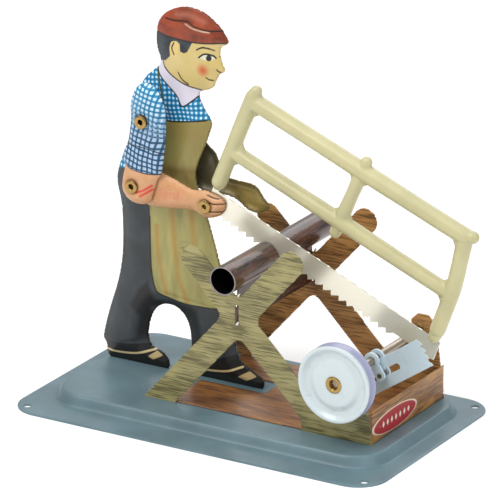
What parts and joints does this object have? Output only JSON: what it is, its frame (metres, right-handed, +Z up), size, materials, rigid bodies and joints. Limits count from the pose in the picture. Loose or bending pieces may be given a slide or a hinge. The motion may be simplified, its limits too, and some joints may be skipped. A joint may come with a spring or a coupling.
{
  "type": "tin toy sawyer with pulley drive",
  "caption": "Pressed-tin workshop toy: a figure pushes a bow saw through a log on a sawhorse, worked by a belt pulley and slotted crank yoke.",
  "frame": {"origin": "centre of the base plate's underside", "axes": "+X along the base towards the pulley end, +Y from the pulley side towards the far side, +Z up"},
  "size_m": [0.1417, 0.08, 0.124],
  "materials": {
    "blue_enamel": "gloss",
    "olive_litho": "gloss",
    "brown_litho": "gloss",
    "orange_litho": "gloss",
    "red_label": "gloss",
    "log_litho": "gloss",
    "figure_litho": "gloss",
    "shirt_litho": "gloss",
    "skin_litho": "gloss",
    "gold_lacquer": "gloss",
    "brass": "polished",
    "bright_steel": "polished",
    "pale_steel": "satin",
    "cream_plastic": "gloss",
    "white_enamel": "gloss"
  },
  "bodies": {
    "stand": {"base_plate": "blue_enamel", "front_frame": "olive_litho", "back_frame": "brown_litho", "floor_tray": "brown_litho", "end_panel": "orange_litho", "oval_label": "red_label", "log_tube": "log_litho", "figure_front_shell": "figure_litho", "figure_back_shell": "figure_litho", "far_arm": "gold_lacquer", "far_arm_rivet": "brass", "shoulder_rivet": "brass", "shoulder_spacer": "bright_steel", "front_bearing": "brass", "rear_bearing": "brass"},
    "near_upper_arm": {"upper_arm": "shirt_litho", "elbow_rivet": "brass"},
    "near_forearm": {"forearm": "skin_litho", "hand_rivet": "brass"},
    "saw": {"saw_blade": "bright_steel", "saw_bow": "cream_plastic", "yoke_plate": "pale_steel"},
    "crankshaft": {"pulley": "white_enamel", "hub_eyelet": "brass", "front_axle": "bright_steel", "front_collar": "brass", "crank_web": "bright_steel", "crank_pin": "bright_steel", "rear_axle": "bright_steel", "rear_web": "bright_steel", "rear_collar": "brass"}
  },
  "joints": [
    {"name": "crank_turn", "type": "hinge", "parent": "stand", "child": "crankshaft", "pos_m": [0.043, 0, 0.0245], "axis": [0, 1, 0], "continuous": true},
    {"name": "saw_stroke", "type": "slide", "parent": "stand", "child": "saw", "axis": [0.915, 0, -0.4035], "range_m": [-0.0122, 0]},
    {"name": "shoulder_swing", "type": "hinge", "parent": "stand", "child": "near_upper_arm", "pos_m": [-0.0378, 0, 0.0879], "axis": [0, 1, 0], "range_deg": [0, 31.8]},
    {"name": "elbow_bend", "type": "hinge", "parent": "near_upper_arm", "child": "near_forearm", "pos_m": [-0.0415, 0, 0.0662], "axis": [0, 1, 0], "range_deg": [-32.3, 0]}
  ],
  "couplings": [
    {"joint": "shoulder_swing", "follows": "saw_stroke", "rad_per_m": -45.24},
    {"joint": "elbow_bend", "follows": "saw_stroke", "rad_per_m": 45.94}
  ]
}
